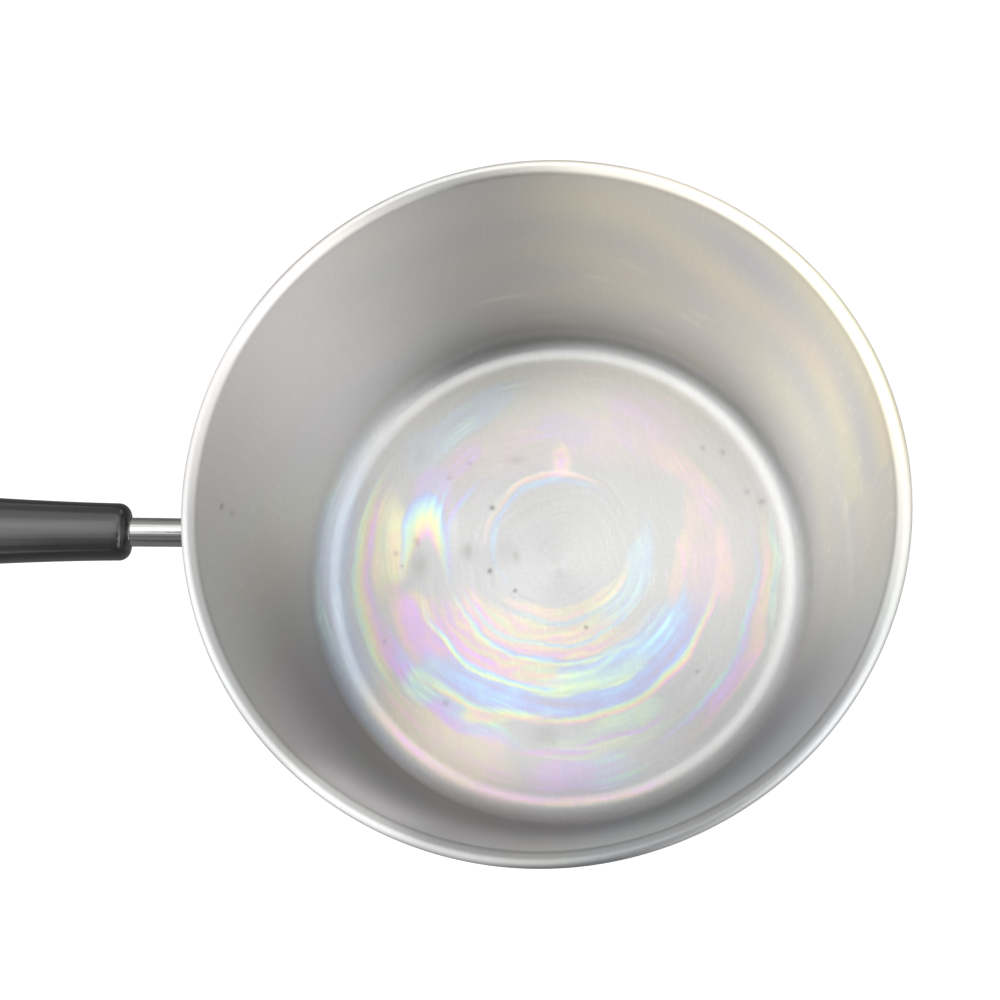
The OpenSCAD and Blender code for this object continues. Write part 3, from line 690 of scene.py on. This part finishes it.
# turns a pattern's z to lie along the handle
along_z = (0, np.pi / 2 - tilt, 0)
turned_steel, tree, out = new_material("turned_steel")
place = add(tree, "TexCoord")
lengthwise = add(tree, "Mapping", {"Vector": place.outputs["Object"], "Rotation": along_z})
rings = add(tree, "TexWave", {
    "Vector": lengthwise.outputs[0],
    "Scale": band_step / lathe_gap,
    "Distortion": 0.0,
}, bands_direction="Z")
stain = add(tree, "TexNoise", {"Vector": place.outputs["Object"], "Scale": 1 / (3 * mm), "Detail": 3.0})
tone = add(tree, "Mix", {
    0: stain.outputs["Fac"],
    6: linear("#7d7b76"),
    7: linear("#a2a09b"),
}, data_type="RGBA")
bump = add(tree, "Bump", {"Height": rings.outputs["Fac"], "Strength": 0.4, "Distance": 0.03 * mm})
rough = add(tree, "MapRange", {0: stain.outputs["Fac"], "To Min": 0.3, "To Max": 0.5})
shade = add(tree, "BsdfPrincipled", {
    "Base Color": tone.outputs[2],
    "Metallic": 1.0,
    "Roughness": rough.outputs[0],
    "Normal": bump.outputs[0],
})
tree.links.new(shade.outputs[0], out.inputs["Surface"])
dress("neck_plug", turned_steel)


# Seat washer and tie rod: a punched washer between the plug's flange and the grip's shoulder, and
# the long rod that clamps the grip on. Both are zinc-plated; the rod is threaded at its ends.
thread_gap = 0.8 * mm
zinc, tree, out = new_material("zinc_plated_steel")
place = add(tree, "TexCoord")
lengthwise = add(tree, "Mapping", {"Vector": place.outputs["Object"], "Rotation": along_z})
thread = add(tree, "TexWave", {
    "Vector": lengthwise.outputs[0],
    "Scale": band_step / thread_gap,
    "Distortion": 0.0,
}, bands_direction="Z")
dulled = add(tree, "TexNoise", {"Vector": place.outputs["Object"], "Scale": 1 / (2 * mm), "Detail": 4.0})
tone = add(tree, "Mix", {
    0: dulled.outputs["Fac"],
    6: linear("#9a9da0"),
    7: linear("#b9b6a8"),
}, data_type="RGBA")
bump = add(tree, "Bump", {"Height": thread.outputs["Fac"], "Strength": 0.5, "Distance": 0.15 * mm})
rough = add(tree, "MapRange", {0: dulled.outputs["Fac"], "To Min": 0.3, "To Max": 0.5})
shade = add(tree, "BsdfPrincipled", {
    "Base Color": tone.outputs[2],
    "Metallic": 1.0,
    "Roughness": rough.outputs[0],
    "Normal": bump.outputs[0],
})
tree.links.new(shade.outputs[0], out.inputs["Surface"])
for node_name in ("seat_washer", "tie_rod"):
    dress(node_name, zinc)


# Grip: black phenolic resin, pressed in a two-part mould that leaves a fine line along both
# sides, and bored for the neck and the tie rod. Hands have worn it to a satin.
grip_l = 142 * mm
front_w, rear_w = 16.2 * mm, 26 * mm
front_h, rear_top_h, belly_h, tail_h = 16.2 * mm, 9 * mm, 11 * mm, 9.6 * mm
section_power = 2.4
# shares of the grip's length where it is deepest and where it reaches its full width
belly_at, widest_at = 0.62, 0.85
front_edge_r, rear_edge_r = 3.2 * mm, 3.6 * mm
bore_r = neck_r + 0.08 * mm
rod_hole_r = 2.8 * mm
recess_r, recess_l = 4.8 * mm, 1.2 * mm
seam_h = 0.07 * mm
mouth_bevel = 0.3 * mm
wipe_w, wipe_l = 0.5 * mm, 12 * mm
grip_points = 120


def grip_ring(d, inset):
    """Rings of the grip at distances d: superellipses |cos a|^(2/p), |sin a|^(2/p) times the
    section's half height and half width, each less its inset, with the mould line at both sides."""
    s = d / grip_l
    upper = front_h / 2 + (rear_top_h - front_h / 2) * smooth(s)
    lower = front_h / 2 + (belly_h - front_h / 2) * smooth(s / belly_at)
    lower = lower + (tail_h - belly_h) * smooth((s - belly_at) / (1 - belly_at))
    half = (front_w + (rear_w - front_w) * smooth(s / widest_at)) / 2
    a = np.arange(grip_points) * 2 * np.pi / grip_points
    c, e = np.cos(a), np.sin(a)
    tall = np.where(c > 0, upper[:, None], lower[:, None]) - inset[:, None]
    wide = (half - inset)[:, None] + seam_h * (np.abs(e) > 0.9999)
    up = np.sign(c) * np.abs(c) ** (2 / section_power) * tall
    side = np.sign(e) * np.abs(e) ** (2 / section_power) * wide
    return on_handle(neck_l + d[:, None], up, side)


def hole_ring(d, radius):
    """Circles of that radius about the grip's axis at distances d from its front end."""
    a = np.arange(grip_points) * 2 * np.pi / grip_points
    return on_handle(neck_l + np.atleast_1d(d)[:, None], radius * np.cos(a), radius * np.sin(a))


# distances and insets over the front's rounded edge, the body and the rear's rounded edge
front = np.linspace(0, np.pi / 2, 10)
body = np.linspace(front_edge_r, grip_l - rear_edge_r, 100)[1:-1]
rear = front[::-1]
grip_d = np.concatenate([
    front_edge_r * (1 - np.cos(front)),
    body,
    grip_l - rear_edge_r * (1 - np.cos(rear)),
])
grip_in = np.concatenate([
    front_edge_r * (1 - np.sin(front)),
    0 * body,
    rear_edge_r * (1 - np.sin(rear)),
])
grip_skin = skin("grip_skin", np.concatenate([
    hole_ring(np.linspace(socket_l, mouth_bevel, 8), bore_r),
    hole_ring(0, bore_r + mouth_bevel),
    grip_ring(grip_d, grip_in),
    hole_ring(grip_l, recess_r),
    hole_ring(grip_l - recess_l, recess_r),
    hole_ring(np.linspace(grip_l - recess_l, socket_l, 8), rod_hole_r),
]), looped=True)
phenolic, tree, out = new_material("satin_moulded_phenolic")
place = add(tree, "TexCoord")
# the resin's fine pits, and the cloudy gloss where hands have rubbed it
pits = add(tree, "TexNoise", {
    "Vector": place.outputs["Object"],
    "Scale": 1 / (0.6 * mm),
    "Detail": 3.0,
    "Roughness": 0.6,
})
handled = add(tree, "TexNoise", {"Vector": place.outputs["Object"], "Scale": 1 / (14 * mm), "Detail": 4.0})
hairline = add(tree, "Mapping", {
    "Vector": place.outputs["Object"],
    "Rotation": along_z,
    "Scale": (1 / wipe_w, 1 / wipe_w, 1 / wipe_l),
})
wiped = add(tree, "TexNoise", {"Vector": hairline.outputs[0], "Scale": 1.0, "Detail": 2.0})
tone = add(tree, "Mix", {
    0: handled.outputs["Fac"],
    6: linear("#0f0f10"),
    7: linear("#171719"),
}, data_type="RGBA")
height = add(tree, "Math", {0: pits.outputs["Fac"], 1: wiped.outputs["Fac"]}, operation="ADD")
bump = add(tree, "Bump", {"Height": height.outputs[0], "Strength": 0.2, "Distance": 0.02 * mm})
rough = add(tree, "MapRange", {
    0: handled.outputs["Fac"],
    "From Min": 0.3,
    "From Max": 0.7,
    "To Min": 0.22,
    "To Max": 0.32,
})
shade = add(tree, "BsdfPrincipled", {
    "Base Color": tone.outputs[2],
    "Roughness": rough.outputs[0],
    "Normal": bump.outputs[0],
    "IOR": 1.65,
    "Coat Weight": 0.7,
    "Coat Roughness": 0.14,
    "Coat IOR": 1.6,
})
tree.links.new(shade.outputs[0], out.inputs["Surface"])
grip_skin.data.materials.append(phenolic)
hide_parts("grip")
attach(grip_skin, "pan")


# Lock washer: a split ring of hardened spring steel under the hanger, pressed flat. Tempering
# left it blue-black.
blued, tree, out = new_material("blued_spring_steel")
place = add(tree, "TexCoord")
temper = add(tree, "TexNoise", {"Vector": place.outputs["Object"], "Scale": 1 / (1.5 * mm), "Detail": 3.0})
tone = add(tree, "Mix", {
    0: temper.outputs["Fac"],
    6: linear("#565a66"),
    7: linear("#7c7b7d"),
}, data_type="RGBA")
rough = add(tree, "MapRange", {0: temper.outputs["Fac"], "To Min": 0.32, "To Max": 0.5})
shade = add(tree, "BsdfPrincipled", {
    "Base Color": tone.outputs[2],
    "Metallic": 1.0,
    "Roughness": rough.outputs[0],
})
tree.links.new(shade.outputs[0], out.inputs["Surface"])
dress("lock_washer", blued)


# Hanger eye: an end nut turned from steel bar, flattened and drilled for the ring, then polished.
# Faint lathe rings remain, and the polish has dulled in patches.
lathe_gap = 0.35 * mm
bright_bar, tree, out = new_material("polished_bar_steel")
place = add(tree, "TexCoord")
lengthwise = add(tree, "Mapping", {"Vector": place.outputs["Object"], "Rotation": along_z})
rings = add(tree, "TexWave", {
    "Vector": lengthwise.outputs[0],
    "Scale": band_step / lathe_gap,
    "Distortion": 0.0,
}, bands_direction="Z")
dulled = add(tree, "TexNoise", {
    "Vector": place.outputs["Object"],
    "Scale": 1 / (4 * mm),
    "Detail": 5.0,
    "Roughness": 0.6,
})
tone = add(tree, "Mix", {
    0: dulled.outputs["Fac"],
    6: linear("#bdbbb8"),
    7: linear("#d8d7d5"),
}, data_type="RGBA")
bump = add(tree, "Bump", {"Height": rings.outputs["Fac"], "Strength": 0.2, "Distance": 0.015 * mm})
rough = add(tree, "MapRange", {
    0: dulled.outputs["Fac"],
    "From Min": 0.3,
    "From Max": 0.7,
    "To Min": 0.12,
    "To Max": 0.3,
})
shade = add(tree, "BsdfPrincipled", {
    "Base Color": tone.outputs[2],
    "Metallic": 1.0,
    "Roughness": rough.outputs[0],
    "Normal": bump.outputs[0],
})
tree.links.new(shade.outputs[0], out.inputs["Surface"])
dress("hanger_eye", bright_bar)


# Hanging ring: bright drawn steel wire, bent into a D whose straight bar turns in the eye. Draw
# lines run along the wire, and hooks have worn its bend dull.
wire_r = 1.5 * mm
ring_half = 10.5 * mm
ring_bend_r = 4 * mm
leg_l = 9 * mm
line_w, line_l = 0.2 * mm, 12 * mm
worn_h = 5 * mm
ring_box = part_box("hang_ring")
eye_x = (ring_box[0].x + ring_box[1].x) / 2
eye_z = ring_box[1].z - wire_r
bar_half = ring_half - ring_bend_r
leg_end = -ring_bend_r - leg_l


def sweep(path, radius, around=28):
    """Rings of a wire about a closed flat path of points (y, z): each is centred on its point and
    stands square to the path, whose direction there is that from the last point to the next."""
    ahead = np.roll(path, -1, axis=0) - np.roll(path, 1, axis=0)
    ahead = ahead / np.linalg.norm(ahead, axis=1, keepdims=True)
    a = np.arange(around) * 2 * np.pi / around
    aside = radius * np.cos(a)
    y = path[:, :1] + ahead[:, 1:] * aside
    z = path[:, 1:] - ahead[:, :1] * aside
    return np.stack([eye_x + radius * np.sin(a) + 0 * y, y, eye_z + z], axis=2)


ring_path = np.concatenate([
    straight((-bar_half, 0), (bar_half, 0), 10)[:-1],
    arc(bar_half, -ring_bend_r, ring_bend_r, 90, 0, 12)[:-1],
    straight((ring_half, -ring_bend_r), (ring_half, leg_end), 8)[:-1],
    arc(0, leg_end, ring_half, 0, -180, 60)[:-1],
    straight((-ring_half, leg_end), (-ring_half, -ring_bend_r), 8)[:-1],
    arc(-bar_half, -ring_bend_r, ring_bend_r, 180, 90, 12)[:-1],
])
ring_wire = skin("ring_wire", sweep(ring_path, wire_r), looped=True)
drawn_wire, tree, out = new_material("bright_drawn_wire")
place = add(tree, "TexCoord")
split = add(tree, "SeparateXYZ", {0: add(tree, "UVMap", uv_map="run").outputs["UV"]})
lines_round = 2 * np.pi * wire_r / line_w
steps_round = add(tree, "Math", {0: split.outputs["X"], 1: lines_round}, operation="MULTIPLY")
steps_along = add(tree, "Math", {0: split.outputs["Y"], 1: 1 / line_l}, operation="MULTIPLY")
drawn_out = add(tree, "CombineXYZ", {"X": steps_round.outputs[0], "Y": steps_along.outputs[0]})
draw_lines = add(tree, "TexNoise", {"Vector": drawn_out.outputs[0], "Scale": 1.0, "Detail": 3.0})
dulled = add(tree, "TexNoise", {"Vector": place.outputs["Object"], "Scale": 1 / (5 * mm), "Detail": 4.0})
tone = add(tree, "Mix", {
    0: dulled.outputs["Fac"],
    6: linear("#c2c1bf"),
    7: linear("#dad9d7"),
}, data_type="RGBA")
bump = add(tree, "Bump", {"Height": draw_lines.outputs["Fac"], "Strength": 0.25, "Distance": 0.01 * mm})
low = add(tree, "SeparateXYZ", {0: place.outputs["Object"]})
rough = add(tree, "MapRange", {
    0: low.outputs["Z"],
    "From Min": ring_box[0].z,
    "From Max": ring_box[0].z + worn_h,
    "To Min": 0.34,
    "To Max": 0.16,
})
shade = add(tree, "BsdfPrincipled", {
    "Base Color": tone.outputs[2],
    "Metallic": 1.0,
    "Roughness": rough.outputs[0],
    "Normal": bump.outputs[0],
})
tree.links.new(shade.outputs[0], out.inputs["Surface"])
ring_wire.data.materials.append(drawn_wire)
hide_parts("hang_ring")
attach(ring_wire, "ring")


# Table: a table top that looks white to the camera and keeps the pan's soft shadow. The pan was
# on a darker one, so it is dark where metal and plastic mirror it.
table_side = 6.0


def flat_sheet(name, long, wide, material):
    """A rectangle about the origin in the XY plane, from -long / 2 to long / 2 in x and from
    -wide / 2 to wide / 2 in y, with its material."""
    h, w = long / 2, wide / 2
    mesh = bpy.data.meshes.new(name)
    mesh.from_pydata([(-h, -w, 0), (h, -w, 0), (h, w, 0), (-h, w, 0)], [], [(0, 1, 2, 3)])
    mesh.materials.append(material)
    return bpy.data.objects.new(name, mesh)


white, tree, out = new_material("white_table_paint")
matt = add(tree, "BsdfDiffuse", {"Color": (0.8, 0.8, 0.8, 1)})
dark = add(tree, "BsdfDiffuse", {"Color": (0.2, 0.2, 0.2, 1)})
glow = add(tree, "Emission", {"Color": (1, 1, 1, 1), "Strength": 0.45})
lifted = add(tree, "AddShader", {0: matt.outputs[0], 1: glow.outputs[0]})
seen = add(tree, "LightPath")
lit = add(tree, "MixShader", {0: seen.outputs["Is Camera Ray"], 1: dark.outputs[0], 2: lifted.outputs[0]})
tree.links.new(lit.outputs[0], out.inputs["Surface"])
table_top = flat_sheet("table_top", table_side, table_side, white)
bpy.context.scene.collection.objects.link(table_top)


# Light: a white surround, which the metal mirrors too, and panels before it. Rows hold a panel's
# direction, its height above the table in degrees, and how much brighter than the surround it
# is. Below zero it is a dim card that only the metal mirrors, where the room round the pan is dark.
world = bpy.data.worlds.new("studio")
bpy.context.scene.world = world
world.use_nodes = True
tree = world.node_tree
tree.nodes.clear()
seen = add(tree, "LightPath")
direct = add(tree, "Math", {
    0: seen.outputs["Is Camera Ray"],
    1: seen.outputs["Is Glossy Ray"],
}, operation="ADD")
mirrored = add(tree, "Math", {
    0: direct.outputs[0],
    1: seen.outputs["Is Transmission Ray"],
}, operation="ADD", use_clamp=True)
# white where it is seen or mirrored, and half as strong where it lights something matt
level = add(tree, "MapRange", {0: mirrored.outputs[0], "To Min": 0.5, "To Max": 1.0})
sky = add(tree, "Background", {"Color": (1, 1, 1, 1), "Strength": level.outputs[0]})
tree.links.new(sky.outputs[0], add(tree, "OutputWorld").inputs["Surface"])
bpy.context.scene.view_settings.view_transform = "Standard"


def facing_pan(made, turn_deg, rise_deg, far):
    """Puts an object on a sphere of radius far round the origin, at (far cos a cos e, far sin a
    cos e, far sin e), with its -Z side to the pan."""
    a, e = np.radians(turn_deg), np.radians(rise_deg)
    made.location = (far * np.cos(a) * np.cos(e), far * np.sin(a) * np.cos(e), far * np.sin(e))
    made.rotation_euler = (0, np.pi / 2 - e, a)
    bpy.context.scene.collection.objects.link(made)


# a panel's width, height and distance in metres, by its height above the table in degrees
panel_sizes = {
    12: (0.56, 0.40, 1.2), 32: (0.52, 0.46, 1.2), 56: (0.34, 0.46, 1.2), 76: (0.28, 0.30, 1.2),
    89.9: (0.28, 0.28, 1.2), 44: (0.50, 0.40, 1.1), 77.2: (0.12, 0.15, 0.39),
}
for turn_deg, rise_deg, extra in (
    (0, 32, 0.4), (0, 56, 0.7), (0, 76, 0.5), (0, 89.9, 0.7), (120, 76, 0.6), (150, 32, 0.5),
    (150, 56, 1.0), (180, 32, 1.4), (180, 56, 2.1), (180, 76, 1.1), (210, 32, 0.7), (210, 56, 1.0),
    (240, 56, 0.5), (240, 76, 0.7), (300, 32, 1.0), (330, 32, 1.3), (330, 56, 1.9), (60, 76, 0.6),
    (90, 76, 0.6), (60, 56, 0.4), (30, 32, -0.6), (60, 32, -0.6), (90, 32, -0.6), (120, 32, -0.6),
    (120, 56, -0.2), (90, 12, -0.7), (120, 12, -0.7), (270, 12, -0.9), (270, 32, -0.8),
    (285, 56, -0.7), (285, 44, -0.85), (301, 77.2, -0.92),
):
    width, height, far = panel_sizes[rise_deg]
    if extra > 0:
        lamp = bpy.data.lights.new(f"lamp_{turn_deg}_{rise_deg:.0f}", "AREA")
        lamp.shape = "RECTANGLE"
        lamp.size, lamp.size_y = height, width
        # an area lamp of pi watts a square metre is as bright as the surround
        lamp.energy = extra * np.pi * width * height
        facing_pan(bpy.data.objects.new(lamp.name, lamp), turn_deg, rise_deg, far)
        continue
    dim_grey, tree, out = new_material(f"card_{turn_deg}_{rise_deg:.0f}")
    dim = add(tree, "Emission", {"Color": (1, 1, 1, 1), "Strength": 1 + extra})
    tree.links.new(dim.outputs[0], out.inputs["Surface"])
    card = flat_sheet(dim_grey.name, height, width, dim_grey)
    facing_pan(card, turn_deg, rise_deg, far)
    card.visible_camera = card.visible_diffuse = False
    card.visible_transmission = card.visible_shadow = False


# Camera: held above the pan, a little towards its near side and turned to the far one. Its lens
# is as long as its sensor is wide, which is about what a phone has.
camera = bpy.data.objects.new("camera", bpy.data.cameras.new("camera"))
bpy.context.scene.collection.objects.link(camera)
camera.data.lens = 36
camera.data.sensor_width = 36
camera.data.clip_start = 0.01
camera.location = (16.08 * mm, -70.81 * mm, 368.05 * mm)
# the axis that it is turned about, as long as the turn in radians
turn_vector = np.array([0.2596, 0.1048, -0.0600])
camera.rotation_mode = "AXIS_ANGLE"
camera.rotation_axis_angle = (float(np.linalg.norm(turn_vector)), *turn_vector)
bpy.context.scene.camera = camera
